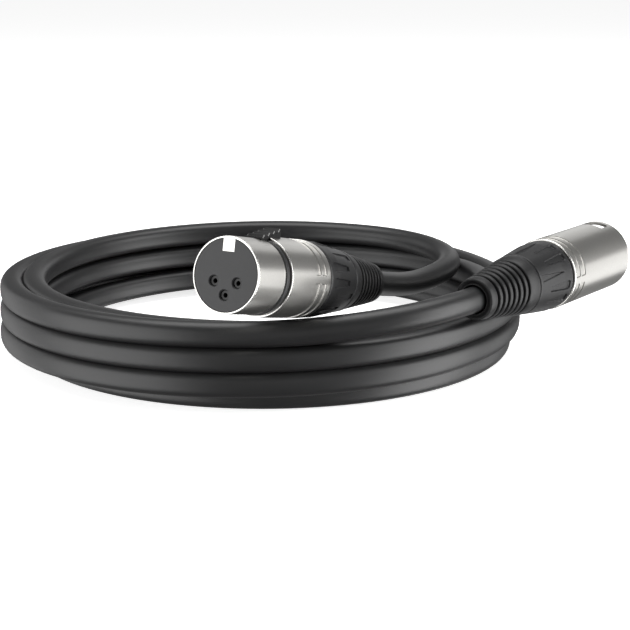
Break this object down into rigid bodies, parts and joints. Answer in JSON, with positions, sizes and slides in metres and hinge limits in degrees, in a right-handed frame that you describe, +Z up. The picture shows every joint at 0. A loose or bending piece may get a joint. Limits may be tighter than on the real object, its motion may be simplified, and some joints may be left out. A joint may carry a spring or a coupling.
{
  "type": "xlr cable coil",
  "caption": "Wound microphone cable with a female three-pole latching connector at one end and a male three-pole connector at the other.",
  "frame": {"origin": "centre of the bottom of the whole object's bounding box, on the surface that the coil lies on", "axes": "+Z up along the coil's axis, -Y towards the side where the female connector's face is, +X towards the male connector"},
  "size_m": [0.1706, 0.164, 0.0462],
  "materials": {
    "cable_jacket": "semi-gloss flexible jacket",
    "boot_rubber": "matt",
    "black_plastic": "matt moulded",
    "chuck_plastic": "matt moulded",
    "core_white": "gloss insulation",
    "core_red": "gloss insulation",
    "drain_copper": "bare copper",
    "contact_metal": "polished contact plating",
    "insert_plastic": "matt moulded",
    "spring_steel": "plain",
    "satin_nickel": "satin nickel plate"
  },
  "bodies": {
    "cable_and_connectors": {"cable_coil": "cable_jacket", "cable_top_inner_turn": "cable_jacket", "cable_top_outer_turn": "cable_jacket", "female_boot": "boot_rubber", "female_bushing": "black_plastic", "female_chuck": "chuck_plastic", "female_cold_core": "core_white", "female_contact_1": "contact_metal", "female_contact_2": "contact_metal", "female_contact_3": "contact_metal", "female_drain_core": "drain_copper", "female_hot_core": "core_red", "female_insert": "insert_plastic", "female_ring": "black_plastic", "female_shell": "satin_nickel", "male_boot": "boot_rubber", "male_bushing": "black_plastic", "male_chuck": "chuck_plastic", "male_cold_core": "core_white", "male_drain_core": "drain_copper", "male_hot_core": "core_red", "male_insert": "insert_plastic", "male_pin_1": "contact_metal", "male_pin_2": "contact_metal", "male_pin_3": "contact_metal", "male_shell": "satin_nickel"},
    "latch": {"female_latch": "black_plastic", "female_latch_spring": "spring_steel"}
  },
  "joints": [
    {"name": "latch_press", "type": "hinge", "parent": "cable_and_connectors", "child": "latch", "pos_m": [-0.00796, -0.0579, 0.0391], "axis": [0.8677, -0.4963, 0.0272], "range_deg": [0, 4], "stiffness_Nm_per_rad": 0.35, "springref_deg": -2.86}
  ]
}
